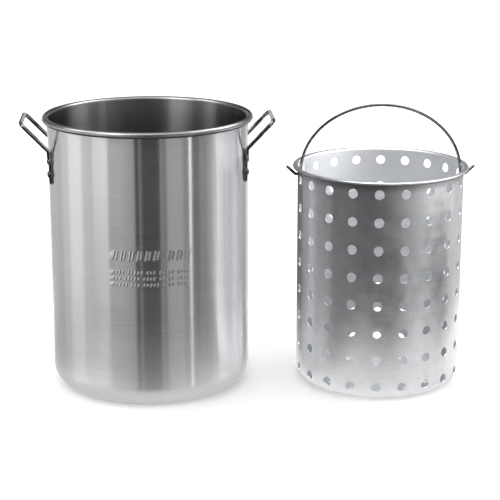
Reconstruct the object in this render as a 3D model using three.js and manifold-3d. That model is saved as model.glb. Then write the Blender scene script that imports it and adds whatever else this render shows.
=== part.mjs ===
// An outdoor frying and boiling kit: a tall drawn-aluminium stock pot with two riveted wire handles,
// and the perforated basket that drops into it, with a swinging wire bail.
// Millimetres, +Z up. The origin is the centre of the pot's underside, and the basket stands beside
// the pot on the same surface, along +X.
import * as THREE from "three";
import { mergeGeometries, mergeVertices } from "three/addons/utils/BufferGeometryUtils.js";
import Module from "manifold-3d";

const wasm = await Module();
wasm.setup();

const degrees = THREE.MathUtils.degToRad;
const FIT_GAP = 0.3; // clearance left between pieces that touch
const WIRE_SIDES = 10; // round wire, rivets and their holes are drawn with this many sides
const MERGE_DISTANCE = 1e-3; // vertices closer than this are one
const CUTTER_LENGTH = 16; // drills run this far, enough to cross a wall or a floor

// Pot: outer wall radius, height over the rolled rim, sheet and floor thickness, bottom corner.
const POT = { radius: 170, height: 470, wall: 2, floor: 2.5, corner: 35, segments: 42 };
const POT_BEAD_RADIUS = 5.5; // outside radius of the rolled rim
const POT_BEAD_END = degrees(-120); // where the rolled sheet stops, just short of the wall
const POT_TURN = degrees(2.5); // the pot stands turned a little towards the basket

// Basket: the same, with a flat lip whose edge is rolled down.
const BASKET = { radius: 142, height: 380, wall: 1.5, floor: 1.5, corner: 26, segments: 40 };
const BASKET_LIP = 8.2; // how far the lip stands out from the wall
const BASKET_LIP_BEND = 2.5; // radius under the lip, and of its rolled edge
const BASKET_OFFSET = 397.5; // from the pot's axis to the basket's
const HOLE_RADIUS = 7.9;
const HOLE_SIDES = 8;
const HOLE_COLUMNS = 20;
const HOLE_COLUMN_START = degrees(-96); // from +X, so that no column meets the bail's holes
const HOLE_ROWS = 8;
const HOLE_FIRST_ROW = 24.5; // height of the lowest row
const HOLE_ROW_PITCH = 47.7;
const FLOOR_RINGS = [
  { radius: 46, count: 6 },
  { radius: 92, count: 12 },
];

// Pot handles: one bent rod each, flattened at both ends into ears that lie on the wall.
const ROD_RADIUS = 3.5;
const EAR = { width: 14, thickness: 3, bottom: 360, top: 410 };
const EAR_ANGLE = (2 * 2 * Math.PI) / POT.segments; // two wall facets either side of the X axis
const ROD_FOOT = 407; // height where the round rod begins, inside the ear
const ROD_KNEE = 416; // height where the rod leaves the wall
const GRIP = { reach: 211, height: 463, bend: 12, kneeBend: 9 };

// Rivets: a flat head inside the pot, a shank and a domed head on the ear.
const RIVET = { head: 6, shank: 3, dome: 4, insideHead: 1.5 };
const RIVET_HOLE_RADIUS = RIVET.shank + FIT_GAP;
const RIVET_HEIGHTS = { lower: 377, upper: 399 };
const DOME_SHARES = [0, 0.35, 0.7, 1]; // places on a domed head, from its rim to its top

// Bail: a wire arch inside the basket's wall, out through a hole on each side into an upturned hook.
const BAIL = { wire: 2.5, halfSpan: 137, rise: 119, pivot: 363.5, footBend: 4, archSteps: 14 };
const BAIL_HOLE_RADIUS = 3.5;
const HOOK = { straightEnd: 146.5, bend: 5, angle: degrees(44), tipReach: 161 };

// ---------------------------------------------------------------- helpers

// A closed geometry with shared vertices, as a manifold-3d solid.
function solid(geometry) {
  const bare = geometry.index ? geometry.toNonIndexed() : geometry.clone();
  bare.deleteAttribute("normal");
  bare.deleteAttribute("uv");
  const merged = mergeVertices(bare, MERGE_DISTANCE);
  return new wasm.Manifold(
    new wasm.Mesh({
      numProp: 3,
      vertProperties: new Float32Array(merged.attributes.position.array),
      triVerts: new Uint32Array(merged.index.array),
    }),
  );
}

// A manifold-3d solid, as a three.js geometry.
function geometryOf(made) {
  const mesh = made.getMesh();
  const geometry = new THREE.BufferGeometry();
  geometry.setAttribute("position", new THREE.BufferAttribute(mesh.vertProperties, mesh.numProp));
  geometry.setIndex(new THREE.BufferAttribute(mesh.triVerts, 1));
  return geometry;
}

// Points along an arc in a profile's plane, both ends included.
function arc(centreR, centreZ, radius, from, to, steps) {
  const points = [];
  for (let i = 0; i <= steps; i += 1) {
    const angle = from + ((to - from) * i) / steps;
    points.push(
      new THREE.Vector2(centreR + radius * Math.cos(angle), centreZ + radius * Math.sin(angle)),
    );
  }
  return points;
}

// Profile points (radius, height) turned about Z. A facet's middle lies at the given angle from +X.
function revolve(profile, segments, facetAngle) {
  const outline = profile.filter(
    (point, i) => i === 0 || point.distanceTo(profile[i - 1]) > MERGE_DISTANCE,
  );
  const start = facetAngle + Math.PI / 2 + Math.PI / segments;
  const geometry = new THREE.LatheGeometry(outline, segments, start);
  return geometry.rotateX(Math.PI / 2);
}

// A path through given stations, which an extrusion visits one by one.
class StationPath extends THREE.Curve {
  constructor(stations) {
    super();
    this.stations = stations.filter(
      (point, i) => i === 0 || point.distanceTo(stations[i - 1]) > MERGE_DISTANCE,
    );
  }

  get steps() {
    return this.stations.length - 1;
  }

  getPoint(t) {
    const place = t * this.steps;
    const i = Math.min(Math.floor(place), this.steps - 1);
    return this.stations[i].clone().lerp(this.stations[i + 1], place - i);
  }

  getPointAt(u) {
    return this.getPoint(u);
  }

  getTangentAt(u) {
    const i = Math.round(u * this.steps);
    const before = this.stations[Math.max(i - 1, 0)];
    const after = this.stations[Math.min(i + 1, this.steps)];
    return after.clone().sub(before).normalize();
  }
}

// Round wire along a list of 3-D stations.
function wire(stations, radius) {
  const path = new StationPath(stations);
  const section = new THREE.Shape();
  section.absarc(0, 0, radius, 0, 2 * Math.PI, false);
  return new THREE.ExtrudeGeometry(section, {
    steps: path.steps,
    extrudePath: path,
    curveSegments: WIRE_SIDES / 2,
    bevelEnabled: false,
  });
}

// Stations of a bend between two straight runs that meet at a corner.
function bend(before, corner, after, radius, steps) {
  const inward = before.clone().sub(corner).normalize();
  const outward = after.clone().sub(corner).normalize();
  const half = inward.angleTo(outward) / 2;
  const setback = radius / Math.tan(half);
  const centre = inward.clone().add(outward).normalize().multiplyScalar(radius / Math.sin(half));
  centre.add(corner);
  const first = inward.clone().multiplyScalar(setback).add(corner).sub(centre);
  const last = outward.clone().multiplyScalar(setback).add(corner).sub(centre);
  const sweep = first.angleTo(last);
  const axis = first.clone().cross(last).normalize();
  const stations = [];
  for (let i = 0; i <= steps; i += 1) {
    stations.push(first.clone().applyAxisAngle(axis, (sweep * i) / steps).add(centre));
  }
  return stations;
}

// A cylinder that crosses a wall at (angle, height), pointing away from the Z axis.
function radialCutter(radius, sides, angle, height, wallRadius) {
  const cutter = new THREE.CylinderGeometry(radius, radius, CUTTER_LENGTH, sides, 1);
  cutter.rotateY(Math.PI / sides);
  cutter.rotateZ(-Math.PI / 2);
  cutter.translate(wallRadius, 0, height);
  return cutter.rotateZ(angle);
}

function material(color, roughness, metalness = 1) {
  return new THREE.MeshStandardMaterial({ color, roughness, metalness });
}

function mesh(name, geometry, finish) {
  const made = new THREE.Mesh(geometry, finish);
  made.name = name;
  return made;
}

const BRUSHED_ALUMINIUM = material(0xc9c9c6, 0.32);
const MATT_ALUMINIUM = material(0xbfc0c2, 0.45);
const PLATED_STEEL = material(0x8e8e90, 0.2);

// ---------------------------------------------------------------- pot

// Underside, corner, outer wall, rolled rim, inner wall, inner corner and floor, in that order.
function potProfile() {
  const { radius, height, wall, floor, corner } = POT;
  const curlRadius = POT_BEAD_RADIUS - wall;
  const curlR = radius + curlRadius;
  const curlZ = height - POT_BEAD_RADIUS;
  return [
    new THREE.Vector2(0, 0),
    ...arc(radius - corner, corner, corner, -Math.PI / 2, 0, 5),
    ...arc(curlR, curlZ, curlRadius, Math.PI, POT_BEAD_END, 8),
    ...arc(curlR, curlZ, POT_BEAD_RADIUS, POT_BEAD_END, Math.PI, 10),
    ...arc(radius - corner, corner, corner - wall, 0, -Math.PI / 2, 5).map(
      (point) => new THREE.Vector2(point.x, Math.max(point.y, floor)),
    ),
    new THREE.Vector2(0, floor),
  ];
}

// Angle and height of each handle rivet, with the words that name it.
function rivetPlaces() {
  const places = [];
  for (const [side, sideAngle] of [["right", 0], ["left", Math.PI]]) {
    for (const [end, sign] of [["front", -1], ["rear", 1]]) {
      for (const [level, height] of Object.entries(RIVET_HEIGHTS)) {
        const angle = sideAngle + sign * EAR_ANGLE * (side === "right" ? 1 : -1);
        places.push({ name: `rivet_${side}_${end}_${level}`, angle, height });
      }
    }
  }
  return places;
}

function potShell() {
  const holes = rivetPlaces().map(({ angle, height }) =>
    radialCutter(RIVET_HOLE_RADIUS, WIRE_SIDES, angle, height, POT.radius),
  );
  const drawn = solid(revolve(potProfile(), POT.segments, 0));
  const drilled = drawn.subtract(solid(mergeGeometries(holes)));
  return mesh("pot_shell", geometryOf(drilled), BRUSHED_ALUMINIUM);
}

// Distance from the pot's axis to the middle of a facet on its outer and inner wall.
const facetMiddle = Math.cos(Math.PI / POT.segments);
const potWallFace = POT.radius * facetMiddle;
const potInsideFace = (POT.radius - POT.wall) * facetMiddle;
const earBack = potWallFace + FIT_GAP;

// One flattened rod end: a plate on the wall with two rivet holes and a round lower end.
function earPlate(sign) {
  const half = EAR.width / 2;
  const outline = new THREE.Shape();
  outline.moveTo(-ROD_RADIUS, EAR.top);
  outline.lineTo(-half, EAR.top - 2 * ROD_RADIUS);
  outline.lineTo(-half, EAR.bottom + half);
  outline.absarc(0, EAR.bottom + half, half, Math.PI, 2 * Math.PI, false);
  outline.lineTo(half, EAR.top - 2 * ROD_RADIUS);
  outline.lineTo(ROD_RADIUS, EAR.top);
  outline.closePath();
  for (const height of Object.values(RIVET_HEIGHTS)) {
    const hole = new THREE.Path();
    hole.absarc(0, height, RIVET_HOLE_RADIUS, 0, 2 * Math.PI, true);
    outline.holes.push(hole);
  }
  const plate = new THREE.ExtrudeGeometry(outline, {
    depth: EAR.thickness,
    curveSegments: 5,
    bevelEnabled: false,
  });
  plate.rotateX(Math.PI / 2);
  plate.rotateZ(Math.PI / 2);
  plate.translate(earBack, 0, 0);
  return plate.rotateZ(sign * EAR_ANGLE);
}

// The rod from one ear, out and up to the grip, across, and back to the other ear.
function handleRod() {
  const footReach = earBack + ROD_RADIUS;
  const footX = footReach * Math.cos(EAR_ANGLE);
  const footY = footReach * Math.sin(EAR_ANGLE);
  const foot = new THREE.Vector3(footX, -footY, ROD_FOOT);
  const knee = new THREE.Vector3(footX, -footY, ROD_KNEE);
  const gripFront = new THREE.Vector3(GRIP.reach, -footY, GRIP.height);
  const gripRear = new THREE.Vector3(GRIP.reach, footY, GRIP.height);
  const half = [
    foot,
    ...bend(foot, knee, gripFront, GRIP.kneeBend, 2),
    ...bend(knee, gripFront, gripRear, GRIP.bend, 4),
  ];
  const otherHalf = half.map((p) => new THREE.Vector3(p.x, -p.y, p.z)).reverse();
  return wire([...half, ...otherHalf], ROD_RADIUS);
}

function handle(name, turn) {
  const plates = solid(mergeGeometries([earPlate(-1), earPlate(1)]));
  const joined = solid(handleRod()).add(plates);
  const made = mesh(name, geometryOf(joined), PLATED_STEEL);
  made.rotation.z = turn;
  return made;
}

// The rivet lies along +X, its inside head first, and is turned to its place.
function rivet({ name, angle, height }) {
  const insideTop = potInsideFace - FIT_GAP;
  const insideBottom = insideTop - RIVET.insideHead;
  const domeBase = earBack + EAR.thickness + FIT_GAP;
  const dome = DOME_SHARES.map((share) => {
    const turn = (share * Math.PI) / 2;
    return new THREE.Vector2(RIVET.head * Math.cos(turn), domeBase + RIVET.dome * Math.sin(turn));
  });
  const profile = [
    new THREE.Vector2(0, insideBottom),
    new THREE.Vector2(RIVET.head - 1, insideBottom),
    new THREE.Vector2(RIVET.head, insideTop),
    new THREE.Vector2(RIVET.shank, insideTop),
    new THREE.Vector2(RIVET.shank, domeBase),
    ...dome,
  ];
  profile[profile.length - 1].x = 0;
  const turned = new THREE.LatheGeometry(profile, WIRE_SIDES).rotateZ(-Math.PI / 2);
  const made = mesh(name, turned, PLATED_STEEL);
  made.rotation.z = angle;
  made.position.z = height;
  return made;
}

// ---------------------------------------------------------------- basket

function basketProfile() {
  const { radius, height, wall, floor, corner } = BASKET;
  const bendR = radius + BASKET_LIP_BEND;
  const bendZ = height - wall - BASKET_LIP_BEND;
  const edgeR = radius + BASKET_LIP - BASKET_LIP_BEND;
  const edgeZ = height - BASKET_LIP_BEND;
  return [
    new THREE.Vector2(0, 0),
    ...arc(radius - corner, corner, corner, -Math.PI / 2, 0, 4),
    ...arc(bendR, bendZ, BASKET_LIP_BEND, Math.PI, Math.PI / 2, 2),
    ...arc(edgeR, edgeZ, BASKET_LIP_BEND - wall, Math.PI / 2, -Math.PI / 2, 3),
    ...arc(edgeR, edgeZ, BASKET_LIP_BEND, -Math.PI / 2, Math.PI / 2, 5),
    ...arc(bendR, bendZ, BASKET_LIP_BEND + wall, Math.PI / 2, Math.PI, 3),
    ...arc(radius - corner, corner, corner - wall, 0, -Math.PI / 2, 4).map(
      (point) => new THREE.Vector2(point.x, Math.max(point.y, floor)),
    ),
    new THREE.Vector2(0, floor),
  ];
}

// Drain holes in the wall, drain holes in the floor, and the two holes that the bail hangs in.
function basketHoles() {
  const cutters = [];
  for (let column = 0; column < HOLE_COLUMNS; column += 1) {
    const angle = HOLE_COLUMN_START + (column * 2 * Math.PI) / HOLE_COLUMNS;
    for (let row = 0; row < HOLE_ROWS; row += 1) {
      const height = HOLE_FIRST_ROW + row * HOLE_ROW_PITCH;
      cutters.push(radialCutter(HOLE_RADIUS, HOLE_SIDES, angle, height, BASKET.radius));
    }
  }
  for (const ring of FLOOR_RINGS) {
    for (let i = 0; i < ring.count; i += 1) {
      const angle = (i * 2 * Math.PI) / ring.count;
      const cutter = new THREE.CylinderGeometry(
        HOLE_RADIUS,
        HOLE_RADIUS,
        CUTTER_LENGTH,
        HOLE_SIDES,
        1,
      );
      cutter.rotateX(Math.PI / 2);
      cutter.translate(ring.radius * Math.cos(angle), ring.radius * Math.sin(angle), 0);
      cutters.push(cutter);
    }
  }
  for (const angle of [0, Math.PI]) {
    cutters.push(radialCutter(BAIL_HOLE_RADIUS, WIRE_SIDES, angle, BAIL.pivot, BASKET.radius));
  }
  return solid(mergeGeometries(cutters));
}

function basketShell() {
  const drawn = solid(revolve(basketProfile(), BASKET.segments, HOLE_COLUMN_START));
  return mesh("basket_shell", geometryOf(drawn.subtract(basketHoles())), MATT_ALUMINIUM);
}

// From the hook's tip in through the wall and up the arch to its crown, then mirrored.
function bailStations() {
  const at = (x, z) => new THREE.Vector3(x, 0, z);
  const { halfSpan, rise, pivot, footBend, archSteps } = BAIL;
  const hookCorner = at(HOOK.straightEnd, pivot);
  const tipRun = HOOK.tipReach - HOOK.straightEnd;
  const tip = at(HOOK.tipReach, pivot + tipRun * Math.tan(HOOK.angle));
  const footCorner = at(halfSpan, pivot);
  const archZ = pivot + footBend;
  const right = [
    tip,
    ...bend(tip, hookCorner, footCorner, HOOK.bend, 3),
    ...bend(hookCorner, footCorner, at(halfSpan, archZ + 1), footBend, 4),
  ];
  for (let i = 1; i <= archSteps; i += 1) {
    const turn = (i / archSteps) * (Math.PI / 2);
    right.push(at(halfSpan * Math.cos(turn), archZ + (rise - footBend) * Math.sin(turn)));
  }
  const left = right.slice(0, -1).reverse().map((p) => at(-p.x, p.z));
  return [...right, ...left];
}

function bail() {
  return mesh("bail", wire(bailStations(), BAIL.wire), PLATED_STEEL);
}

// ---------------------------------------------------------------- assembly

const pot = new THREE.Group();
pot.rotation.z = POT_TURN;
pot.add(potShell(), handle("handle_right", 0), handle("handle_left", Math.PI));
pot.add(...rivetPlaces().map(rivet));

const basket = new THREE.Group();
basket.position.x = BASKET_OFFSET;
basket.add(basketShell(), bail());

const kit = new THREE.Group();
kit.add(pot, basket);

export default kit;
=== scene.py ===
"""Stock pot and strainer basket of an outdoor frying kit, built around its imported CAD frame."""

import math

import bmesh
import bpy
from mathutils import Matrix, Vector

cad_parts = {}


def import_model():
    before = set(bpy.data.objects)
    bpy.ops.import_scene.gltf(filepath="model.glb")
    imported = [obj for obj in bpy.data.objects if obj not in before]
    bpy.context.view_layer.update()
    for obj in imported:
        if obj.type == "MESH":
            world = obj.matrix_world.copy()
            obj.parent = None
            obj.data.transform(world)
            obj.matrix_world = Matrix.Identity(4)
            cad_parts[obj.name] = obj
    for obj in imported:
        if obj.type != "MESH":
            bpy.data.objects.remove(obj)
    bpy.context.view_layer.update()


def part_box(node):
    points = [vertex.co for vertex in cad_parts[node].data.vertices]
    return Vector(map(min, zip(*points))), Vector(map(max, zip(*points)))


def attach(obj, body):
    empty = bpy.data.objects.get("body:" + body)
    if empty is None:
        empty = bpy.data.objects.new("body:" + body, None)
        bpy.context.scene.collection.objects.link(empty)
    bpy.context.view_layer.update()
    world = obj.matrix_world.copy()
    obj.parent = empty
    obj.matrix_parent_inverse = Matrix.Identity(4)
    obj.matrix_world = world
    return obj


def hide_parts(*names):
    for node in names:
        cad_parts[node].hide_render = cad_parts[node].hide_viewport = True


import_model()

MM = 0.001
TAU = 2 * math.pi
rad = math.radians
scene = bpy.context.scene

# ---------------------------------------------------------------- sizes, in millimetres, as in the frame

POT_R, POT_H, POT_WALL, POT_FLOOR, POT_CORNER = 170.0, 470.0, 2.0, 2.5, 35.0
POT_CURL = 3.5  # radius of the inside of the rolled rim
POT_CURL_TRIM = 0.2  # how much thinner than the wall the rolled sheet is
POT_CURL_END = rad(-118)  # where the rolled sheet stops, just short of the wall
POT_WALL_LOW, POT_WALL_TOP = 36, 461  # the outer wall between the bottom corner and the rim
POT_WALL_WAVE = 0.10  # unevenness of the drawn wall
POT_TURN = rad(2.5)  # the pot stands turned a little, its right handle away from the camera

EAR_ANGLE = TAU * 2 / 42  # between an ear and the handle's middle, round the pot's axis
EAR_BACK = 169.9  # distance of the ears' backs from the pot's axis
EAR_LOW, EAR_TOP = 360.0, 408.0
EAR_HALF_WIDTH, EAR_HALF_THICKNESS = 7.0, 1.5
EAR_END_HALF_WIDTH, EAR_END_SHARE = 0.6, 0.55  # at an ear's very end: half width, share of its thickness
EAR_BLEND = 15.0  # height over which an ear turns into round rod
EAR_SQUARENESS, ROUND = 4.0, 2.0  # powers of the sections' superellipses
ROD_R = 3.45
ROD_STEP = 2.0  # how much further out than an ear the rod's middle lies
KNEE_Z, KNEE_BEND = 416.0, 9.0
GRIP_REACH, GRIP_Z, GRIP_BEND = 210.9, 463.0, 12.0

RIVET_Z = {"lower": 377.0, "upper": 399.0}
RIVET_SHANK_R, RIVET_HEAD_R, RIVET_RISE = 3, 6.0, 3.5
RIVET_SEAT = EAR_BACK + 3.05  # where the domed head sits on the ear
RIVET_EDGE = 0.35  # height of the straight edge below the dome
# Flat head inside the pot: radius, and distance from the pot's axis.
RIVET_INSIDE_HEAD = [(0, 165.9), (3.4, 165.95), (5.2, 166.3), (5.8, 166.9), (5.9, 167.6)]

basket_low, basket_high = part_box("basket_shell")
BASKET_X = 500 * (basket_low.x + basket_high.x)
BASKET_R, BASKET_H, BASKET_WALL, BASKET_CORNER = 142.0, 380.0, 1.5, 26.0
LIP_BEND = 2.5  # radius of the bend from the wall out into the lip
LIP_EDGE_R, LIP_EDGE_OUT = 1.0, 5.7  # the lip's rolled edge: its radius, and how far out its middle lies
LIP_FOOT = 374.5  # height where the wall begins to bend out
LIP_LOW, LIP_OUT = 370.0, 0.6  # the lip's painted shadow and painted shade begin above this height, and this far out of the wall
SHEET_EDGE, SHEET_EDGE_ANGLE = 0.3, rad(50)  # width of a softened edge, and the least bend that is one
HOLE_R = 7.9
COLUMNS = [-96.0 + 18.0 * k for k in range(20)]  # degrees from +X
COLUMN_HALF = 9  # half of the angle between columns, in degrees
ROWS = [24.5 + 47.7 * k for k in range(8)]
WALL_FOOT, WALL_HEAD = 1.0, 371.0  # the part of the wall that the rows of holes divide
FLOOR_RINGS = [(69.0, 115.0, 92.0, 12), (23.0, 69.0, 46.0, 6)]  # inner and outer edge, hole circle, holes
FLOOR_HUB = 23.0
FLOOR_STEPS = 96  # points round each ring of the floor
HOLED_STEPS, STRIP_STEPS = (8, 8), (2, 8)  # divisions of a cell along and up the wall

PIVOT_Z = 363.5
PIVOT_ANGLES = (0.0, math.pi)
PIVOT_HOLE_R = 3.5
PIVOT_STRIP = rad(2.2)  # half width of the narrow column that holds a pivot's hole
BAIL_R, BAIL_TIP_R, BAIL_TIP_LENGTH = 2.45, 1.9, 0.6
BAIL_HALF_SPAN, BAIL_RISE, BAIL_FOOT_BEND = 137.0, 118.9, 4.0
HOOK_START, HOOK_REACH, HOOK_ANGLE, HOOK_BEND = 146.5, 161.0, rad(44), 5.0

CORNER_STEPS, ARCH_STEPS = 8, 48  # pieces of a rod's rounded corner, and of each half of the bail's arch
ROD_SIDES, BAIL_SIDES, RIVET_SIDES = 24, 20, 28
UP, DOWN = Vector((0, 0, 1)), Vector((0, 0, -1))


# ---------------------------------------------------------------- mesh helpers

def smooth_step(t):
    return t * t * (3 - 2 * t)


def arc(cr, cz, radius, start, end, steps):
    """Points of an arc in a profile's plane, both ends included."""
    return [
        (cr + radius * math.cos(start + (end - start) * i / steps),
         cz + radius * math.sin(start + (end - start) * i / steps))
        for i in range(steps + 1)
    ]


def finish_mesh(name, bm, body, materials, replaced):
    """Turns a bmesh in millimetres into a smooth piece that rides on a body and replaces a CAD node."""
    bmesh.ops.scale(bm, vec=(MM, MM, MM), verts=bm.verts)
    for face in bm.faces:
        face.smooth = True
    mesh = bpy.data.meshes.new(name)
    bm.to_mesh(mesh)
    bm.free()
    piece = bpy.data.objects.new(name, mesh)
    scene.collection.objects.link(piece)
    for material in materials:
        mesh.materials.append(material)
    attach(piece, body)
    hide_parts(replaced)
    return piece


def apply_modifiers(piece):
    """Bakes a piece's modifiers into its mesh."""
    depsgraph = bpy.context.evaluated_depsgraph_get()
    baked = bpy.data.meshes.new_from_object(piece.evaluated_get(depsgraph))
    piece.modifiers.clear()
    piece.data = baked


def lathe(bm, profile, angles, shift=None, finish=None):
    """Revolves a profile of (radius, height) that starts and ends on the axis.

    shift(i, angle, r, z) gives a new (r, z). finish(i) gives the material of the band above ring i.
    """
    rings = []
    for i, (r, z) in enumerate(profile):
        if r < 1e-6:
            rings.append([bm.verts.new((0.0, 0.0, z))])
            continue
        ring = []
        for angle in angles:
            rr, zz = shift(i, angle, r, z) if shift else (r, z)
            ring.append(bm.verts.new((rr * math.cos(angle), rr * math.sin(angle), zz)))
        rings.append(ring)
    count = len(angles)
    for i, (lower, upper) in enumerate(zip(rings, rings[1:])):
        for k in range(count):
            n = (k + 1) % count
            if len(lower) == 1:
                face = bm.faces.new((lower[0], upper[n], upper[k]))
            elif len(upper) == 1:
                face = bm.faces.new((lower[k], lower[n], upper[0]))
            else:
                face = bm.faces.new((lower[k], lower[n], upper[n], upper[k]))
            if finish:
                face.material_index = finish(i)
    bmesh.ops.recalc_face_normals(bm, faces=bm.faces)


def sweep(bm, stations, sides):
    """A tube through stations of (centre, side axis, up axis, half width, half height, squareness)."""
    rings = []
    for centre, side, up, a, b, power in stations:
        ring = []
        for k in range(sides):
            t = TAU * k / sides
            c, s = math.cos(t), math.sin(t)
            x = a * math.copysign(abs(c) ** (2 / power), c)
            y = b * math.copysign(abs(s) ** (2 / power), s)
            ring.append(bm.verts.new(centre + side * x + up * y))
        rings.append(ring)
    for one, two in zip(rings, rings[1:]):
        for k in range(sides):
            n = (k + 1) % sides
            bm.faces.new((one[k], one[n], two[n], two[k]))
    bm.faces.new(list(reversed(rings[0])))
    bm.faces.new(rings[-1])
    bmesh.ops.recalc_face_normals(bm, faces=bm.faces)


def round_corners(points, radii):
    """A polyline whose inner corners are replaced by arcs of the given radii."""
    path = [points[0]]
    for i in range(1, len(points) - 1):
        corner = points[i]
        back = (points[i - 1] - corner).normalized()
        ahead = (points[i + 1] - corner).normalized()
        half = back.angle(ahead) / 2
        setback = radii[i - 1] / math.tan(half)
        centre = corner + (back + ahead).normalized() * (radii[i - 1] / math.sin(half))
        first = corner + back * setback - centre
        last = corner + ahead * setback - centre
        axis = first.cross(last).normalized()
        turn = first.angle(last)
        for k in range(CORNER_STEPS + 1):
            path.append(centre + Matrix.Rotation(turn * k / CORNER_STEPS, 3, axis) @ first)
    path.append(points[-1])
    return path


def transported(path, first_side):
    """Each point of a path with side and up axes that follow it without twisting."""
    stations = []
    side = first_side
    for i, point in enumerate(path):
        ahead = path[min(i + 1, len(path) - 1)] - path[max(i - 1, 0)]
        ahead.normalize()
        side = (side - ahead * side.dot(ahead)).normalized()
        stations.append((point, side, ahead.cross(side)))
    return stations


# ---------------------------------------------------------------- materials

LINE_DEPTH, GRAIN_DEPTH = 0.00005, 0.00003  # metres
GRAIN_SCALE = (260, 260, 900)
ACROSS_THE_LINES = 0.25  # anisotropic rotation that spreads a highlight across the lines


def node(tree, kind, **values):
    """A new node, with its inputs or its settings set by name."""
    made = tree.nodes.new(kind)
    for key, value in values.items():
        if key in made.inputs:
            made.inputs[key].default_value = value
        else:
            setattr(made, key, value)
    return made


def streak_noise(tree, scale, detail, roughness=0.55):
    """Noise on the piece's own coordinates, stretched by a scale along each axis."""
    coords = node(tree, "ShaderNodeTexCoord")
    mapping = node(tree, "ShaderNodeMapping", Scale=scale)
    tree.links.new(coords.outputs["Object"], mapping.inputs["Vector"])
    noise = node(tree, "ShaderNodeTexNoise", Scale=1.0, Detail=detail, Roughness=roughness)
    tree.links.new(mapping.outputs["Vector"], noise.inputs["Vector"])
    return noise.outputs["Fac"]


def ranged(tree, value, low, high, from_low=0.3, from_high=0.7):
    """A value carried over from one range to another. The default range is a noise's usual one."""
    change = node(tree, "ShaderNodeMapRange")
    change.inputs["From Min"].default_value = from_low
    change.inputs["From Max"].default_value = from_high
    change.inputs["To Min"].default_value = low
    change.inputs["To Max"].default_value = high
    tree.links.new(value, change.inputs["Value"])
    return change.outputs["Result"]


def mixed(tree, factor, dark, light):
    mix = node(tree, "ShaderNodeMix", data_type="RGBA")
    mix.inputs["A"].default_value = (*dark, 1)
    mix.inputs["B"].default_value = (*light, 1)
    tree.links.new(factor, mix.inputs["Factor"])
    return mix.outputs["Result"]


def bumped(tree, layers):
    """A chain of bump nodes, one for each (height, distance, strength)."""
    normal = None
    for height, distance, strength in layers:
        bump = node(tree, "ShaderNodeBump", Strength=strength, Distance=distance)
        tree.links.new(height, bump.inputs["Height"])
        if normal:
            tree.links.new(normal, bump.inputs["Normal"])
        normal = bump.outputs["Normal"]
    return normal


def metal(name, dark, light, rough, anisotropic, line_scale, line_bump, blotch_scale,
          grain_bump=0.08, painted_shade=None):
    """Metal with fine lines along its circumference, soft blotches, and a highlight spread across the lines.

    rough holds the lowest and highest roughness of the lines, and how far the blotches change it.
    The last argument paints shade into the colour by height: two heights, in metres, and the shade that the
    colour darkens to at the second.
    """
    material = bpy.data.materials.new(name)
    material.use_nodes = True
    tree = material.node_tree
    shader = tree.nodes["Principled BSDF"]
    shader.inputs["Metallic"].default_value = 1.0
    shader.inputs["Anisotropic"].default_value = anisotropic
    shader.inputs["Anisotropic Rotation"].default_value = ACROSS_THE_LINES
    lines = streak_noise(tree, line_scale, detail=4.0, roughness=0.7)
    blotches = streak_noise(tree, blotch_scale, detail=3.0)
    grain = streak_noise(tree, GRAIN_SCALE, detail=2.0)
    shades = node(tree, "ShaderNodeMath", operation="MULTIPLY_ADD")
    tree.links.new(ranged(tree, lines, 0, 0.5), shades.inputs[0])
    shades.inputs[1].default_value = 1.0
    tree.links.new(ranged(tree, blotches, 0, 0.5), shades.inputs[2])
    color = mixed(tree, shades.outputs[0], dark, light)
    # Painted shade: the colour darkens between two heights of the piece.
    if painted_shade:
        low, high, shade = painted_shade
        coords = node(tree, "ShaderNodeTexCoord")
        parts = node(tree, "ShaderNodeSeparateXYZ")
        tree.links.new(coords.outputs["Object"], parts.inputs[0])
        darkened = node(tree, "ShaderNodeVectorMath", operation="SCALE")
        tree.links.new(color, darkened.inputs[0])
        tree.links.new(ranged(tree, parts.outputs["Z"], 1.0, shade, low, high), darkened.inputs["Scale"])
        color = darkened.outputs[0]
    tree.links.new(color, shader.inputs["Base Color"])
    both = node(tree, "ShaderNodeMath", operation="ADD")
    tree.links.new(ranged(tree, lines, rough[0], rough[1]), both.inputs[0])
    tree.links.new(ranged(tree, blotches, -rough[2], rough[2]), both.inputs[1])
    tree.links.new(both.outputs[0], shader.inputs["Roughness"])
    normal = bumped(tree, [(lines, LINE_DEPTH, line_bump), (grain, GRAIN_DEPTH, grain_bump)])
    tree.links.new(normal, shader.inputs["Normal"])
    if anisotropic:
        tangent = node(tree, "ShaderNodeTangent", direction_type="RADIAL", axis="Z")
        tree.links.new(tangent.outputs["Tangent"], shader.inputs["Tangent"])
    return material


pot_metal = metal(
    "pot_aluminium", dark=(0.735, 0.74, 0.755), light=(0.90, 0.905, 0.915), rough=(0.20, 0.26, 0.01),
    anisotropic=0.98, line_scale=(2.2, 2.2, 640.0), line_bump=0.055, blotch_scale=(4.0, 4.0, 9.0),
    grain_bump=0.06)
# Painted shade: the inside is a much darker copy of the pot's aluminium, and it darkens further with depth.
pot_inner_metal = metal(
    "pot_aluminium_inside", dark=(0.38, 0.38, 0.385), light=(0.48, 0.48, 0.485), rough=(0.30, 0.35, 0.02),
    anisotropic=1.0, line_scale=(1.6, 1.6, 900.0), line_bump=0.02, blotch_scale=(3.0, 3.0, 6.0),
    grain_bump=0.04, painted_shade=(0.455, 0.385, 0.50))
# Painted shade: the rolled rim is a darker copy of the pot's aluminium.
rim_metal = metal(
    "pot_rim_aluminium", dark=(0.50, 0.50, 0.505), light=(0.60, 0.60, 0.605), rough=(0.30, 0.38, 0.03),
    anisotropic=0.30, line_scale=(4.0, 4.0, 300.0), line_bump=0.06, blotch_scale=(12.0, 12.0, 12.0))
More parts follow.
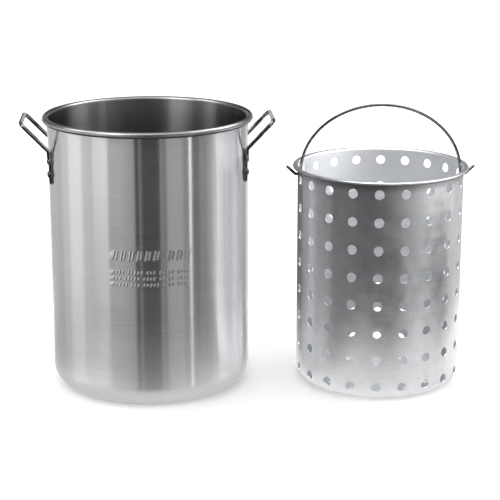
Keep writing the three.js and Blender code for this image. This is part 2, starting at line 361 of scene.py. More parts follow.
# Painted shadow: near-black metal on the faces under the pot's rolled rim and under the basket's lip.
painted_shadow_metal = metal(
    "painted_shadow_under_rims", dark=(0.05, 0.05, 0.052), light=(0.12, 0.12, 0.125), rough=(0.40, 0.55, 0.03),
    anisotropic=0.0, line_scale=(60.0, 60.0, 60.0), line_bump=0.2, blotch_scale=(20.0, 20.0, 20.0))
# Painted shadow of the lip: the outer wall darkens just below it.
basket_metal = metal(
    "basket_aluminium", dark=(0.69, 0.70, 0.715), light=(0.87, 0.88, 0.89), rough=(0.31, 0.36, 0.03),
    anisotropic=0.40, line_scale=(14.0, 14.0, 420.0), line_bump=0.05, blotch_scale=(60.0, 60.0, 40.0),
    grain_bump=0.24, painted_shade=(0.3600, 0.3740, 0.40))
# Painted shade: the inside darkens towards the floor.
basket_inner_metal = metal(
    "basket_aluminium_inside", dark=(0.86, 0.87, 0.89), light=(0.94, 0.95, 0.97), rough=(0.55, 0.65, 0.03),
    anisotropic=0.20, line_scale=(5.0, 5.0, 300.0), line_bump=0.14, blotch_scale=(9.0, 9.0, 6.0),
    grain_bump=0.16, painted_shade=(0.22, 0.0, 0.55))
# Painted shade: the lip is a darker copy of the basket's aluminium.
lip_metal = metal(
    "basket_lip_aluminium", dark=(0.56, 0.565, 0.575), light=(0.68, 0.685, 0.695), rough=(0.42, 0.50, 0.03),
    anisotropic=0.20, line_scale=(14.0, 14.0, 300.0), line_bump=0.06, blotch_scale=(40.0, 40.0, 40.0),
    grain_bump=0.16)
handle_metal = metal(
    "handle_plated_wire", dark=(0.46, 0.46, 0.47), light=(0.60, 0.60, 0.61), rough=(0.05, 0.10, 0.02),
    anisotropic=0.0, line_scale=(60.0, 60.0, 60.0), line_bump=0.08, blotch_scale=(25.0, 25.0, 25.0))
bail_metal = metal(
    "bail_plated_wire", dark=(0.30, 0.30, 0.31), light=(0.42, 0.42, 0.43), rough=(0.07, 0.13, 0.03),
    anisotropic=0.0, line_scale=(60.0, 60.0, 60.0), line_bump=0.08, blotch_scale=(25.0, 25.0, 25.0))
rivet_metal = metal(
    "rivet_metal", dark=(0.34, 0.34, 0.35), light=(0.48, 0.48, 0.49), rough=(0.16, 0.28, 0.04),
    anisotropic=0.0, line_scale=(160.0, 160.0, 160.0), line_bump=0.15, blotch_scale=(60.0, 60.0, 60.0))


# ---------------------------------------------------------------- pot

# A block of raised strokes on the front of the wall: tall leaning bars over three rows of short ones.
EMBOSS_HEIGHT, EMBOSS_EDGE = 0.5, 0.7  # how far a bar stands out, and the width of its soft edge
EMBOSS_LEFT, EMBOSS_RIGHT = rad(-90 - 19.2), rad(-90 + 26.8)
EMBOSS_LOW, EMBOSS_TOP = 206.0, 280.0
EMBOSS_STEP = 0.75  # height between the wall's rings across the block
BAR_PITCH, BAR_SLANT = 5.4, 0.2
TALL_Z, TALL_START, TALL_GAP = 265.0, 4.0, 2.8
TALL_HALF_WIDTH, TALL_HALF_HEIGHT, TALL_DIFFERENCE = 1.05, 8.6, 1.2
TALL_GROUPS = (2, 2, 2, 2, 2, 2, 0, 2, 2, 2)  # bars in each group, and 0 for the dash
DASH_OFFSET, DASH_HALF_WIDTH, DASH_HALF_HEIGHT, DASH_ROOM = 4.0, 3.6, 1.1, 12.0
SHORT_Z, SHORT_ROW_PITCH, SHORT_GAP = 236.5, 10.4, 4.0
SHORT_HALF_WIDTH, SHORT_HALF_HEIGHT, SHORT_DIFFERENCE = 0.9, 3.1, 0.7
SHORT_GROUPS = [(4, 5, 3, 5, 4), (3, 5, 4, 5, 4), (5, 3, 5, 4, 4)]

COARSE_TURN, FINE_TURN = rad(1.8), rad(0.22)  # between the pot's columns of vertices
CURL_INSIDE_STEPS, CURL_OUTSIDE_STEPS = 22, 32
CURL_SHOWS_FROM = rad(-34)  # the roll is in its own shadow below this, and there it gets painted shadow
# INSIDE and ON_RIM are darker copies of the aluminium, which is painted shade; UNDER_RIM is painted shadow.
OUTSIDE, INSIDE, UNDER_RIM, ON_RIM = range(4)  # the pot's materials


def bar(u, v, half_u, half_v, slant):
    """Height, from 0 to 1, of a raised bar with round ends, at (u, v) from its centre."""
    u -= slant * v
    du = max(abs(u) - max(half_u - half_v, 0.0), 0.0)
    dv = max(abs(v) - max(half_v - half_u, 0.0), 0.0)
    edge = min(half_u, half_v) - math.hypot(du, dv)
    return smooth_step(min(max(edge / EMBOSS_EDGE + 0.5, 0.0), 1.0))


def emboss_bars():
    """(centre along the wall, height, half width, half height, slant) of each bar, in millimetres."""
    width = (EMBOSS_RIGHT - EMBOSS_LEFT) * POT_R
    bars = []
    at = TALL_START
    for group in TALL_GROUPS:
        if group == 0:
            bars.append((at + DASH_OFFSET, TALL_Z, DASH_HALF_WIDTH, DASH_HALF_HEIGHT, 0.0))
            at += DASH_ROOM
            continue
        for k in range(group):
            tall = TALL_HALF_HEIGHT - TALL_DIFFERENCE * (k % 2)
            bars.append((at + BAR_PITCH * k, TALL_Z, TALL_HALF_WIDTH, tall, BAR_SLANT))
        at += BAR_PITCH * group + TALL_GAP
    for row, counts in enumerate(SHORT_GROUPS):
        total = sum(counts) * BAR_PITCH + (len(counts) - 1) * SHORT_GAP
        at = (width - total) / 2
        for count in counts:
            for k in range(count):
                tall = SHORT_HALF_HEIGHT - SHORT_DIFFERENCE * ((k + row) % 2)
                bars.append((at + BAR_PITCH * k, SHORT_Z - SHORT_ROW_PITCH * row,
                             SHORT_HALF_WIDTH, tall, BAR_SLANT))
            at += BAR_PITCH * count + SHORT_GAP
    return bars


BARS = emboss_bars()


def emboss(angle, z):
    """How far the wall is raised at an angle and a height."""
    if not (EMBOSS_LEFT < angle < EMBOSS_RIGHT and EMBOSS_LOW < z < EMBOSS_TOP):
        return 0.0
    u = (angle - EMBOSS_LEFT) * POT_R
    best = 0.0
    for cu, cv, half_u, half_v, slant in BARS:
        if abs(u - cu) < half_u + 4 and abs(z - cv) < half_v + 2:  # near enough to matter
            best = max(best, bar(u - cu, z - cv, half_u, half_v, slant))
    return EMBOSS_HEIGHT * best


def pot_angles():
    """Angles round the pot, close together where the wall is embossed."""
    margin, shortest = 0.01, rad(0.6)
    angles = []
    angle = -math.pi
    while angle < math.pi - 1e-9:
        angles.append(angle)
        fine = EMBOSS_LEFT - margin < angle < EMBOSS_RIGHT + margin
        angle += FINE_TURN if fine else COARSE_TURN
    if math.pi - angles[-1] < shortest:
        angles.pop()
    return angles


def pot_profile():
    """Outline of the pot's sheet in three runs, from the underside's middle round to the floor's middle."""
    r, h, w, c = POT_R, POT_H, POT_WALL, POT_CORNER
    floor_radii = [60, 110, r - c - 6]
    outer_curl = POT_CURL + w - POT_CURL_TRIM
    curl_r, curl_z = r + POT_CURL, h - POT_CURL - w
    heights = [c + 4, 60, 90, 120, 150, 180, 200, EMBOSS_LOW]
    steps = int((EMBOSS_TOP - EMBOSS_LOW) / EMBOSS_STEP)
    heights += [EMBOSS_LOW + (EMBOSS_TOP - EMBOSS_LOW) * i / steps for i in range(1, steps + 1)]
    heights += [295, 320, 350, 380, 410, 440, 455, POT_WALL_TOP]
    outside = [(0, 0)] + [(x, 0) for x in floor_radii]
    outside += arc(r - c, c, c, -math.pi / 2, 0, 16)
    outside += [(r, z) for z in heights]
    curl = arc(curl_r, curl_z, POT_CURL, math.pi, POT_CURL_END, CURL_INSIDE_STEPS)
    curl += arc(curl_r, curl_z, outer_curl, POT_CURL_END, math.pi, CURL_OUTSIDE_STEPS)
    inside = [(r - w, z) for z in (POT_WALL_TOP, 440, 400, 340, 280, 220, 160, 100, 60, c + 4)]
    inside += [(x, max(z, POT_FLOOR)) for x, z in arc(r - c, c, c - w, 0, rad(-80), 14)]
    inside += [(x, POT_FLOOR) for x in reversed(floor_radii)] + [(0, POT_FLOOR)]
    return outside, curl, inside


def pot_shell():
    outside, curl, inside = pot_profile()
    outer_count = len(outside)

    def shift(i, angle, r, z):
        """Sets the outer wall in by its unevenness, and raises the block of bars on it."""
        if i < outer_count and POT_WALL_LOW < z < POT_WALL_TOP:
            wave = POT_WALL_WAVE * math.sin(3 * angle + 0.7) * math.sin(z / 90.0)
            return r + emboss(angle, z) - POT_WALL_WAVE + wave, z
        return r, z

    def finish(i):
        """Material of the band above a ring of the profile."""
        past = i - outer_count
        if past < 0:
            return OUTSIDE
        if past < CURL_INSIDE_STEPS:
            return UNDER_RIM
        along = past - CURL_INSIDE_STEPS - 1
        if along < CURL_OUTSIDE_STEPS:
            turn = POT_CURL_END + (math.pi - POT_CURL_END) * along / CURL_OUTSIDE_STEPS
            return UNDER_RIM if turn < CURL_SHOWS_FROM else ON_RIM
        return INSIDE

    bm = bmesh.new()
    lathe(bm, outside + curl + inside, pot_angles(), shift, finish)
    materials = [pot_metal, pot_inner_metal, painted_shadow_metal, rim_metal]
    return finish_mesh("pot_sheet", bm, "pot", materials, "pot_shell")


def ear_and_rod(sign):
    """Stations of the right handle's front (-1) or rear (1) half, from an ear's round end to the grip."""
    angle = sign * EAR_ANGLE
    out = Vector((math.cos(angle), math.sin(angle), 0))
    across = Vector((-math.sin(angle), math.cos(angle), 0))
    tip, blend_from = EAR_HALF_WIDTH, EAR_TOP - EAR_BLEND
    ear_middle = EAR_BACK + EAR_HALF_THICKNESS
    stations = []

    def add(distance, z, half_width, half_thickness, power):
        stations.append((out * distance + UP * z, across, -out, half_width, half_thickness, power))

    for k in range(9):
        drop = tip * (1 - math.cos(math.pi / 2 * k / 8))
        half = max(math.sqrt(max(tip ** 2 - (tip - drop) ** 2, 0)), EAR_END_HALF_WIDTH)
        thick = EAR_HALF_THICKNESS * min(1.0, EAR_END_SHARE + (1 - EAR_END_SHARE) * k / 3)
        add(ear_middle, EAR_LOW + drop, half, thick, EAR_SQUARENESS)
    for k in range(1, 7):
        z = EAR_LOW + tip + (blend_from - EAR_LOW - tip) * k / 6
        add(ear_middle, z, EAR_HALF_WIDTH, EAR_HALF_THICKNESS, EAR_SQUARENESS)
    for k in range(1, 11):
        s = smooth_step(k / 10)
        add(ear_middle + ROD_STEP * s, blend_from + EAR_BLEND * k / 10,
            EAR_HALF_WIDTH - (EAR_HALF_WIDTH - ROD_R) * s,
            EAR_HALF_THICKNESS + (ROD_R - EAR_HALF_THICKNESS) * s,
            EAR_SQUARENESS - (EAR_SQUARENESS - ROUND) * s)
    foot = out * (ear_middle + ROD_STEP)
    corner = Vector((GRIP_REACH, foot.y, GRIP_Z))
    middle = Vector((GRIP_REACH, 0, GRIP_Z))
    path = round_corners([foot + UP * EAR_TOP, foot + UP * KNEE_Z, corner, middle], [KNEE_BEND, GRIP_BEND])
    stations += [(p, a, b, ROD_R, ROD_R, ROUND) for p, a, b in transported(path[1:], across)]
    return stations


def handle(name, turn, replaced):
    """A bent rod whose two ends are flattened into ears, turned about the pot's axis to its side."""
    rotation = Matrix.Rotation(POT_TURN + turn, 3, "Z")
    rear = [(p, -a, b, w, t, n) for p, a, b, w, t, n in reversed(ear_and_rod(1))]
    merged = [(rotation @ p, rotation @ a, rotation @ b, w, t, n)
              for p, a, b, w, t, n in ear_and_rod(-1) + rear[1:]]
    frames = transported([station[0] for station in merged], merged[0][1])
    stations = []
    for (p, a, b, w, t, n), (_, side, up) in zip(merged, frames):
        flat = n > ROUND + 0.01
        stations.append((p, a if flat else side, b if flat else up, w, t, n))
    bm = bmesh.new()
    sweep(bm, stations, ROD_SIDES)
    return finish_mesh(name, bm, "pot", [handle_metal], replaced)


def rivet(side_name, end_name, level):
    """A domed head on the ear, a shank, and a flat head inside the pot, all round the rivet's own axis."""
    sign = -1 if end_name == "front" else 1
    angle = POT_TURN + sign * EAR_ANGLE if side_name == "right" else POT_TURN + math.pi - sign * EAR_ANGLE
    dome_foot = RIVET_SEAT + RIVET_EDGE
    profile = RIVET_INSIDE_HEAD + [(RIVET_SHANK_R, 167.7), (RIVET_SHANK_R, RIVET_SEAT)]
    profile += [(RIVET_HEAD_R - 0.3, RIVET_SEAT), (RIVET_HEAD_R, dome_foot)]
    profile += [(RIVET_HEAD_R * math.cos(t), dome_foot + RIVET_RISE * math.sin(t))
                for t in (rad(10 * k) for k in range(1, 9))]
    profile += [(0, dome_foot + RIVET_RISE)]
    bm = bmesh.new()
    lathe(bm, profile, [TAU * k / RIVET_SIDES for k in range(RIVET_SIDES)])
    turn = Matrix.Rotation(angle, 4, "Z") @ Matrix.Rotation(math.pi / 2, 4, "Y")
    bmesh.ops.transform(bm, matrix=Matrix.Translation((0, 0, RIVET_Z[level])) @ turn, verts=bm.verts)
    node_name = f"rivet_{side_name}_{end_name}_{level}"
    return finish_mesh("headed_" + node_name, bm, "pot", [rivet_metal], node_name)


# ---------------------------------------------------------------- basket

def basket_point(angle, s):
    """A point on the basket's outer face. s is the wall's height, and runs on round the bottom corner."""
    c = BASKET_CORNER
    if s >= c:
        r, z = BASKET_R, s
    else:
        turn = min((c - s) / c, math.pi / 2)
        r = BASKET_R - c + c * math.cos(turn) - max((c - s) - c * math.pi / 2, 0)
        z = c - c * math.sin(turn)
    return Vector((BASKET_X + r * math.cos(angle), r * math.sin(angle), z))


def floor_point(angle, r):
    return Vector((BASKET_X + r * math.cos(angle), r * math.sin(angle), 0))


class Grid:
    """Vertices shared by key, so that neighbouring cells meet."""

    def __init__(self, bm):
        self.bm = bm
        self.made = {}

    def vert(self, point):
        key = tuple(round(c, 3) for c in point)
        if key not in self.made:
            self.made[key] = self.bm.verts.new(point)
        return self.made[key]

    def face(self, verts):
        """A face through the different ones of some vertices, unless it is there already."""
        unique = list(dict.fromkeys(verts))
        if len(unique) > 2:
            try:
                self.bm.faces.new(unique)
            except ValueError:
                pass

    def band(self, one, two):
        """Faces between two closed loops of as many vertices."""
        for k in range(len(one)):
            n = (k + 1) % len(one)
            self.face([one[k], one[n], two[n], two[k]])


def holed_cell(grid, place, u0, u1, v0, v1, sub, hole):
    """A patch of sheet between u0..u1 and v0..v1, with a round hole.

    place(u, v) gives the point. hole is (u, v, radius along u, radius along v).
    """
    collar = 1.12  # radius of the loop next to the hole, over the hole's
    nu, nv = sub
    edge = [(u0 + (u1 - u0) * i / nu, v0) for i in range(nu)]
    edge += [(u1, v0 + (v1 - v0) * j / nv) for j in range(nv)]
    edge += [(u1 + (u0 - u1) * i / nu, v1) for i in range(nu)]
    edge += [(u0, v1 + (v0 - v1) * j / nv) for j in range(nv)]
    hu, hv, ru, rv = hole
    circle = []
    for u, v in edge:
        t = math.atan2((v - hv) / rv, (u - hu) / ru)
        circle.append((hu + ru * math.cos(t), hv + rv * math.sin(t)))
    near = [(hu + (u - hu) * collar, hv + (v - hv) * collar) for u, v in circle]
    middle = [((a[0] + b[0]) / 2, (a[1] + b[1]) / 2) for a, b in zip(edge, near)]
    rings = [[grid.vert(place(u, v)) for u, v in loop] for loop in (edge, middle, near, circle)]
    for outer, inner in zip(rings, rings[1:]):
        grid.band(outer, inner)


def plain_cell(grid, place, u0, u1, v0, v1, sub):
    """A patch of sheet between u0..u1 and v0..v1."""
    nu, nv = sub
    for i in range(nu):
        for j in range(nv):
            corners = [(i, j), (i + 1, j), (i + 1, j + 1), (i, j + 1)]
            grid.face([grid.vert(place(u0 + (u1 - u0) * a / nu, v0 + (v1 - v0) * b / nv))
                       for a, b in corners])


def zip_loops(grid, one, two):
    """Joins two loops of (angle, vertex), sorted by angle, whose counts differ."""
    i = j = 0
    n, m = len(one), len(two)
    while i < n or j < m:
        a, b = one[i % n][1], two[j % m][1]
        next_one = one[(i + 1) % n][0] + (TAU if i + 1 >= n else 0)
        next_two = two[(j + 1) % m][0] + (TAU if j + 1 >= m else 0)
        if j >= m or (i < n and next_one <= next_two):
            grid.face([a, one[(i + 1) % n][1], b])
            i += 1
        else:
            grid.face([a, two[(j + 1) % m][1], b])
            j += 1


def column_edges():
    """Left and right angle of each column of holes. Those beside a pivot leave room for its own column."""
    edges = []
    for degrees in COLUMNS:
        left, right = rad(degrees - COLUMN_HALF), rad(degrees + COLUMN_HALF)
        for pivot in PIVOT_ANGLES:
            if 0 < pivot - rad(degrees) < rad(COLUMN_HALF):
                right = pivot - PIVOT_STRIP
            if 0 < rad(degrees) - pivot < rad(2 * COLUMN_HALF):
                left = pivot + PIVOT_STRIP
        edges.append((left, right))
    return edges


def basket_wall(grid, columns):
    """The perforated wall, with a plain strip at each pivot that holds only the bail's hole."""
    row_edges = [WALL_FOOT] + [(a + b) / 2 for a, b in zip(ROWS, ROWS[1:])] + [WALL_HEAD]
    for (left, right), degrees in zip(columns, COLUMNS):
        for low, high, z in zip(row_edges, row_edges[1:], ROWS):
            holed_cell(grid, basket_point, left, right, low, high, HOLED_STEPS,
                       (rad(degrees), z, HOLE_R / BASKET_R, HOLE_R))
    for pivot in PIVOT_ANGLES:
        left, right = pivot - PIVOT_STRIP, pivot + PIVOT_STRIP
        for low, high in zip(row_edges, row_edges[1:]):
            if low < PIVOT_Z < high:
                holed_cell(grid, basket_point, left, right, low, high, STRIP_STEPS,
                           (pivot, PIVOT_Z, PIVOT_HOLE_R / BASKET_R, PIVOT_HOLE_R))
            else:
                plain_cell(grid, basket_point, left, right, low, high, STRIP_STEPS)


def basket_rings(grid, angles):
    """Plain rings above the top row, through the lip, and round the bottom corner. Returns the lowest."""
    lip = [(BASKET_R, WALL_HEAD), (BASKET_R, LIP_FOOT)]
    bend_z = BASKET_H - BASKET_WALL - LIP_BEND
    lip += arc(BASKET_R + LIP_BEND, bend_z, LIP_BEND, math.pi, math.pi / 2, 5)
    edge_z = BASKET_H - BASKET_WALL - LIP_EDGE_R
    lip += arc(BASKET_R + LIP_EDGE_OUT, edge_z, LIP_EDGE_R, math.pi / 2, -math.pi / 2, 6)
    rings = [[grid.vert(Vector((BASKET_X + r * math.cos(a), r * math.sin(a), z))) for a in angles]
             for r, z in lip]
    for lower, upper in zip(rings, rings[1:]):
        grid.band(lower, upper)
    corner_low = BASKET_CORNER - BASKET_CORNER * math.pi / 2
    levels = [WALL_FOOT + (corner_low - WALL_FOOT) * i / 8 for i in range(9)]
    corner = [[grid.vert(basket_point(a, s)) for a in angles] for s in levels]
    for upper, lower in zip(corner, corner[1:]):
        grid.band(lower, upper)
    return corner[-1]


def basket_floor(grid):
    """Two rings of holes round a plain middle. Returns the outer edge, as (angle, vertex)."""
    for inner, outer, middle, count in FLOOR_RINGS:
        step = TAU / count
        for k in range(count):
            centre = k * step
            holed_cell(grid, floor_point, centre - step / 2, centre + step / 2, inner, outer,
                       (FLOOR_STEPS // count, HOLED_STEPS[1]),
                       (centre, middle, HOLE_R / middle, HOLE_R))
    hub_start = -TAU / 2 / FLOOR_RINGS[1][3]
    hub = [grid.vert(floor_point(hub_start + TAU * i / FLOOR_STEPS, FLOOR_HUB)) for i in range(FLOOR_STEPS)]
    centre = grid.vert(Vector((BASKET_X, 0, 0)))
    for k in range(FLOOR_STEPS):
        grid.face([centre, hub[(k + 1) % FLOOR_STEPS], hub[k]])
    edge_start = -TAU / 2 / FLOOR_RINGS[0][3]
    edge_angles = [edge_start + TAU * i / FLOOR_STEPS for i in range(FLOOR_STEPS)]
    return [(a, grid.vert(floor_point(a, FLOOR_RINGS[0][1]))) for a in edge_angles]


def basket_shell():
    bm = bmesh.new()
    grid = Grid(bm)
    columns = column_edges()
    basket_wall(grid, columns)
    angles = []
    spans = [(left, right, HOLED_STEPS[0]) for left, right in columns]
    spans += [(p - PIVOT_STRIP, p + PIVOT_STRIP, STRIP_STEPS[0]) for p in PIVOT_ANGLES]
    for left, right, count in sorted(spans):
        angles += [left + (right - left) * i / count for i in range(count)]
    lowest = basket_rings(grid, angles)
    floor_edge = basket_floor(grid)
    start = floor_edge[0][0]
    zip_loops(grid, sorted(((a - start) % TAU + start, v) for a, v in zip(angles, lowest)), floor_edge)
    bmesh.ops.remove_doubles(bm, verts=bm.verts, dist=0.01)
    bmesh.ops.recalc_face_normals(bm, faces=bm.faces)
    # The sheet is open at the lip, so the side it faces is read from the wall's rightmost face.
    wall = [f for f in bm.faces if BASKET_H / 2 < f.calc_center_median().z < BASKET_H * 0.65]
    if max(wall, key=lambda f: f.calc_center_median().x).normal.x < 0:
        bmesh.ops.reverse_faces(bm, faces=bm.faces)
    piece = finish_mesh("basket_sheet", bm, "basket",
                        [basket_metal, basket_inner_metal, painted_shadow_metal, lip_metal], "basket_shell")
    thick = piece.modifiers.new("thick", "SOLIDIFY")
    thick.thickness = BASKET_WALL * MM
    thick.offset = -1
    thick.use_even_offset = True
    thick.material_offset = 1
    bevel = piece.modifiers.new("edges", "BEVEL")
    bevel.width = SHEET_EDGE * MM
    bevel.segments = 2
    bevel.limit_method = "ANGLE"
    bevel.angle_limit = SHEET_EDGE_ANGLE
    apply_modifiers(piece)
    # Painted shadow on the faces under the lip, and a darker copy of the metal, painted shade, on the rest
    # of the lip.
    under_lip, on_lip = 2, 3
    for polygon in piece.data.polygons:
        x, y, z = polygon.center
        out = math.hypot(x - BASKET_X * MM, y) / MM
        if out > BASKET_R + LIP_OUT and z / MM > LIP_LOW:
            polygon.material_index = under_lip if polygon.normal.z < -0.5 else on_lip
    return piece


# ---------------------------------------------------------------- bail

def bail():
    """Wire arch inside the wall, out through the wall's two holes into upturned hooks."""
    tip = Vector((HOOK_REACH, 0, PIVOT_Z + (HOOK_REACH - HOOK_START) * math.tan(HOOK_ANGLE)))
    corner = Vector((HOOK_START, 0, PIVOT_Z))
    foot_corner = Vector((BAIL_HALF_SPAN, 0, PIVOT_Z))
    above = Vector((BAIL_HALF_SPAN, 0, PIVOT_Z + BAIL_FOOT_BEND + 1))
    right = round_corners([tip, corner, foot_corner, above], [HOOK_BEND, BAIL_FOOT_BEND])[:-1]
    for i in range(1, ARCH_STEPS + 1):
        t = i / ARCH_STEPS * math.pi / 2
        height = PIVOT_Z + BAIL_FOOT_BEND + (BAIL_RISE - BAIL_FOOT_BEND) * math.sin(t)
        right.append(Vector((BAIL_HALF_SPAN * math.cos(t), 0, height)))
    path = right + [Vector((-p.x, 0, p.z)) for p in reversed(right[:-1])]
    path = [Vector((BASKET_X + p.x, p.y, p.z)) for p in path]
    stations = [(p, a, b, BAIL_R, BAIL_R, ROUND) for p, a, b in transported(path, Vector((0, 1, 0)))]
    for end, other in ((0, 1), (-1, -2)):
        p, a, b, *_ = stations[end]
        inward = (stations[other][0] - p).normalized()
        stations[end] = (p, a, b, BAIL_TIP_R, BAIL_TIP_R, ROUND)
        ring = (p + inward * BAIL_TIP_LENGTH, a, b, BAIL_R, BAIL_R, ROUND)
        stations.insert(1 if end == 0 else len(stations) - 1, ring)
    bm = bmesh.new()
    sweep(bm, stations, BAIL_SIDES)
    return finish_mesh("bail_wire_arch", bm, "bail", [bail_metal], "bail")


pot_sheet = pot_shell()
basket_sheet = basket_shell()
wires = [
    handle("wire_handle_right", 0, "handle_right"),
    handle("wire_handle_left", math.pi, "handle_left"),
    bail(),
]
for side_name in ("right", "left"):
    for end_name in ("front", "rear"):
        for level_name in RIVET_Z:
            wires.append(rivet(side_name, end_name, level_name))


# ---------------------------------------------------------------- camera

CAMERA_X, CAMERA_DISTANCE, CAMERA_HEIGHT = 0.118, 2.670, 0.9516
LOOK_HEIGHT = 0.235  # height on the pot's axis that the pitch points at
FOCAL_PIXELS, IMAGE_PIXELS = 1593.0, 500.0
SENSOR = 36.0
OFF_CENTRE = (32.0, 3.6)  # where the picture's middle lies from the direction of the pitch, in pixels

pitch = math.atan2(CAMERA_HEIGHT - LOOK_HEIGHT, CAMERA_DISTANCE)
ahead = Vector((0, math.cos(pitch), -math.sin(pitch)))
upward = Vector((0, math.sin(pitch), math.cos(pitch)))
look = ahead + Vector((1, 0, 0)) * (OFF_CENTRE[0] / FOCAL_PIXELS) - upward * (OFF_CENTRE[1] / FOCAL_PIXELS)
camera_data = bpy.data.cameras.new("camera")
camera_data.sensor_width = SENSOR
camera_data.lens = SENSOR * FOCAL_PIXELS / IMAGE_PIXELS
camera = bpy.data.objects.new("camera", camera_data)
camera.location = Vector((CAMERA_X, -CAMERA_DISTANCE, CAMERA_HEIGHT))
camera.rotation_euler = look.to_track_quat("-Z", "Y").to_euler()
scene.collection.objects.link(camera)
scene.camera = camera


# ---------------------------------------------------------------- studio

MIDDLE_X = 0.2  # about the middle of the whole kit, in metres
FLOOR_HALF = 40.0
FLOOR_WHITE = (0.95, 0.95, 0.95, 1)
PLAIN_STRENGTH = 1.55  # of the white surroundings
# Brightness of the dim room, from straight down (0) to straight up (1).
ROOM_LEVELS = ((0.0, 0.10), (0.30, 0.035), (0.62, 0.03), (0.80, 0.12), (1.0, 0.35))
ROOM_BLUE = 1.03

scene.view_settings.view_transform = "Standard"


def studio_floor():
    """White floor for the camera. What the metal reflects of it comes from the soft boxes that face up."""
    bm = bmesh.new()
    corners = [(-FLOOR_HALF, -FLOOR_HALF), (FLOOR_HALF, -FLOOR_HALF), (FLOOR_HALF, FLOOR_HALF),
               (-FLOOR_HALF, FLOOR_HALF)]
    bm.faces.new([bm.verts.new((MIDDLE_X + x, y, 0.0)) for x, y in corners])
    mesh = bpy.data.meshes.new("floor")
    bm.to_mesh(mesh)
    bm.free()
    floor = bpy.data.objects.new("floor", mesh)
    scene.collection.objects.link(floor)
    material = bpy.data.materials.new("floor_white")
    material.use_nodes = True
    shader = material.node_tree.nodes["Principled BSDF"]
    shader.inputs["Base Color"].default_value = FLOOR_WHITE
    shader.inputs["Roughness"].default_value = 1.0
    shader.inputs["Specular IOR Level"].default_value = 0.0
    mesh.materials.append(material)
    floor.visible_glossy = False
    floor.visible_shadow = False


def world():
    """White for the camera and for diffuse light, and a dim room for reflections."""
    made = bpy.data.worlds.new("studio")
    scene.world = made
    made.use_nodes = True
    made.cycles.sampling_method = "NONE"
    tree = made.node_tree
    tree.nodes.clear()
    path = node(tree, "ShaderNodeLightPath")
    coords = node(tree, "ShaderNodeTexCoord")
    parts = node(tree, "ShaderNodeSeparateXYZ")
    tree.links.new(coords.outputs["Generated"], parts.inputs[0])
    height = ranged(tree, parts.outputs["Z"], 0.0, 1.0, -1.0, 1.0)
    ramp = node(tree, "ShaderNodeValToRGB")
    tree.links.new(height, ramp.inputs["Fac"])
    for position, _ in ROOM_LEVELS[1:-1]:
        ramp.color_ramp.elements.new(position)
    for element, (position, level) in zip(ramp.color_ramp.elements, ROOM_LEVELS):
        element.position = position
        element.color = (level, level, level * ROOM_BLUE, 1)
    reflected = node(tree, "ShaderNodeBackground")
    tree.links.new(ramp.outputs["Color"], reflected.inputs["Color"])
    plain = node(tree, "ShaderNodeBackground", Color=(1, 1, 1, 1), Strength=PLAIN_STRENGTH)
    mix = node(tree, "ShaderNodeMixShader")
    tree.links.new(path.outputs["Is Glossy Ray"], mix.inputs["Fac"])
    tree.links.new(plain.outputs["Background"], mix.inputs[1])
    tree.links.new(reflected.outputs["Background"], mix.inputs[2])
    output = node(tree, "ShaderNodeOutputWorld")
    tree.links.new(mix.outputs["Shader"], output.inputs["Surface"])


def collection_of(name, pieces):
    collection = bpy.data.collections.new(name)
    for piece in pieces:
        collection.objects.link(piece)
    return collection


def soft_box(name, place, facing, width, height, level, group):
    """A rectangular lamp whose face has a given brightness.

    group is the collection that it lights, and the collection that shades it, or None for everything.
    """
    lit, shading = group
    light = bpy.data.lights.new(name, "AREA")
    light.shape = "RECTANGLE"
    light.size = width
    light.size_y = height
    light.energy = 4 * width * height * level
    box = bpy.data.objects.new(name, light)
    box.location = place
    box.rotation_euler = facing.to_track_quat("-Z", "Y").to_euler()
    box.visible_camera = False
    box.light_linking.receiver_collection = lit
    if shading:
        box.light_linking.blocker_collection = shading
    scene.collection.objects.link(box)


def strips(name, centre_x, rows, group):
    """Upright soft boxes. Each row is (start, end, level), or goes on with (lowest, highest, distance).

    start and end are angles in degrees from the front, positive towards +X.
    """
    for k, (start, end, level, *place) in enumerate(rows):
        low, high, distance = place or (STRIP_LOW, STRIP_HIGH, STRIP_DISTANCE)
        middle = rad((start + end) / 2)
        width = 2 * distance * math.tan(rad(end - start) / 2)
        outward = Vector((math.sin(middle), -math.cos(middle), 0))
        centre = Vector((centre_x, 0, (low + high) / 2)) + outward * distance
        soft_box(f"{name}_{k}", centre, -outward, width, high - low, level, group)


# Soft boxes round the pot, the basket and the wires: their angles and brightness, and then their lowest and
# highest points and distance, in metres, where those differ from these.
STRIP_DISTANCE = 2.4
STRIP_LOW, STRIP_HIGH = -0.68, 0.75
POT_LIGHTS = [
    (-176, -155, 0.85), (-155, -135, 0.40), (-135, -112, 0.42), (-112, -98, 0.55), (-98, -77, 0.77),
    (-77, -63, 0.55), (-63, -13, 0.34), (-62, -43, 0.52, -0.28, 0.75, 2.4), (-8.4, -6, 0.20),
    (-6, 14.5, 0.03, -0.28, 0.75, 2.4), (14.5, 17, 0.26), (17, 21.5, 0.15), (21.5, 40, 0.35),
    (40, 45.5, 0.22), (47.2, 49.8, 0.62), (47.2, 49.8, 1.10, -0.28, 0.75, 2.4), (50.5, 60, 0.10),
    (60, 70, 0.20), (70, 77, 0.30), (77, 84, 0.46), (84, 94, 0.54), (94, 102, 0.42), (102, 150, 0.32),
    (150, 176, 0.55),
]
POT_INSIDE_LIGHTS = [
    (92, 124, 4.2, 1.2, 3.0, 1.5), (62, 70, 3.4, 1.2, 3.0, 1.5), (-58, -28, 2.8, 1.2, 3.0, 1.5),
    (-99, -84, 4.4, 1.2, 3.0, 1.5),
]
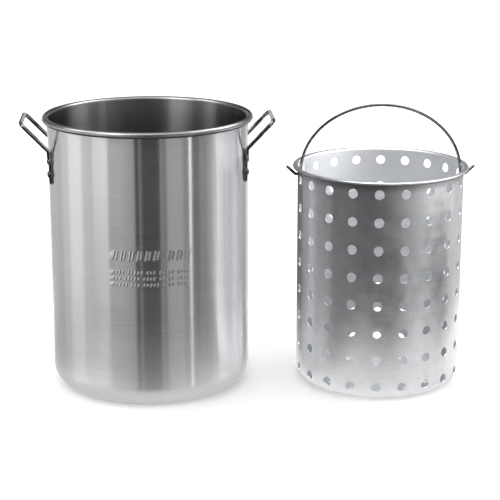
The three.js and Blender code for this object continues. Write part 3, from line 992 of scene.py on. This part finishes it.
BASKET_LIGHTS = [
    (-176, -144, 0.11), (-96, -62, 0.24, -0.95, -0.42, 2.4), (-64, -40, 0.12), (-40, 4, 0.06),
    (4, 16, 0.20, 0.10, 1.3, 1.1), (16, 30, 0.32, 0.08, 1.3, 1.1), (30, 38, 0.30),
    (38, 46, 0.40, -0.1, 1.3, 1.1), (46, 54, 0.66, 0.08, 1.3, 1.1), (54, 66, 1.0, 0.12, 1.3, 1.1),
    (66, 100, 1.5, 0.18, 1.3, 1.1), (100, 165, 0.5), (60, 110, 3.8, 1.0, 2.4, 1.5),
]
WIRE_LIGHTS = [
    (-74, -60, 1.6, 0.2, 2.2, 2.4), (20, 30, 1.4, 0.2, 2.2, 2.4), (70, 78, 0.8, 0.2, 2.2, 2.4),
    (164, 196, 0.45, 0.1, 1.9, 2.4),
]
# Soft boxes that face up from just below the floor: what the lower walls reflect of the table.
TABLE_Z = -0.002
POT_TABLES = ((0.46, 0.22), (0.6, 0.14), (1.0, 0.12))  # side, brightness
BASKET_TABLES = ((-0.22, 0.42, 0.45), (-0.31, 0.52, 0.20), (-0.40, 0.60, 0.06))  # left, right, brightness
BASKET_TABLE_DEPTH = 0.8
BASKET_CENTRE = BASKET_X * MM

studio_floor()
world()
# The pot and the basket were photographed apart, so neither one shades the other from its own lamps.
pot_group = (collection_of("lit_with_pot", [pot_sheet]), collection_of("shades_pot", [pot_sheet, *wires]))
basket_group = (collection_of("lit_with_basket", [basket_sheet]),
                collection_of("shades_basket", [basket_sheet, *wires]))
wire_group = (collection_of("lit_with_wires", wires), None)
strips("pot_box", 0.0, POT_LIGHTS, pot_group)
strips("pot_inside_box", 0.0, POT_INSIDE_LIGHTS, pot_group)
strips("basket_box", BASKET_CENTRE, BASKET_LIGHTS, basket_group)
strips("wire_box", MIDDLE_X, WIRE_LIGHTS, wire_group)
for size, level in POT_TABLES:
    soft_box("pot_table", Vector((0.0, 0.0, TABLE_Z)), UP, size, size, level, pot_group)
for left, right, level in BASKET_TABLES:
    table_middle = Vector((BASKET_CENTRE + (left + right) / 2, 0.0, TABLE_Z))
    soft_box("basket_table", table_middle, UP, right - left, BASKET_TABLE_DEPTH, level, basket_group)
# Overhead lamps for the rims, the insides and the wires.
soft_box("pot_top", Vector((0.0, -0.9, 2.2)), Vector((0, 0.45, -1)), 2.6, 0.5, 1.7, pot_group)
soft_box("basket_top", Vector((BASKET_CENTRE, -0.2, 2.0)), DOWN, 1.2, 1.2, 8.0, basket_group)
soft_box("wire_top", Vector((MIDDLE_X, -0.5, 2.2)), Vector((0, 0.25, -1)), 1.8, 0.7, 2.0, wire_group)
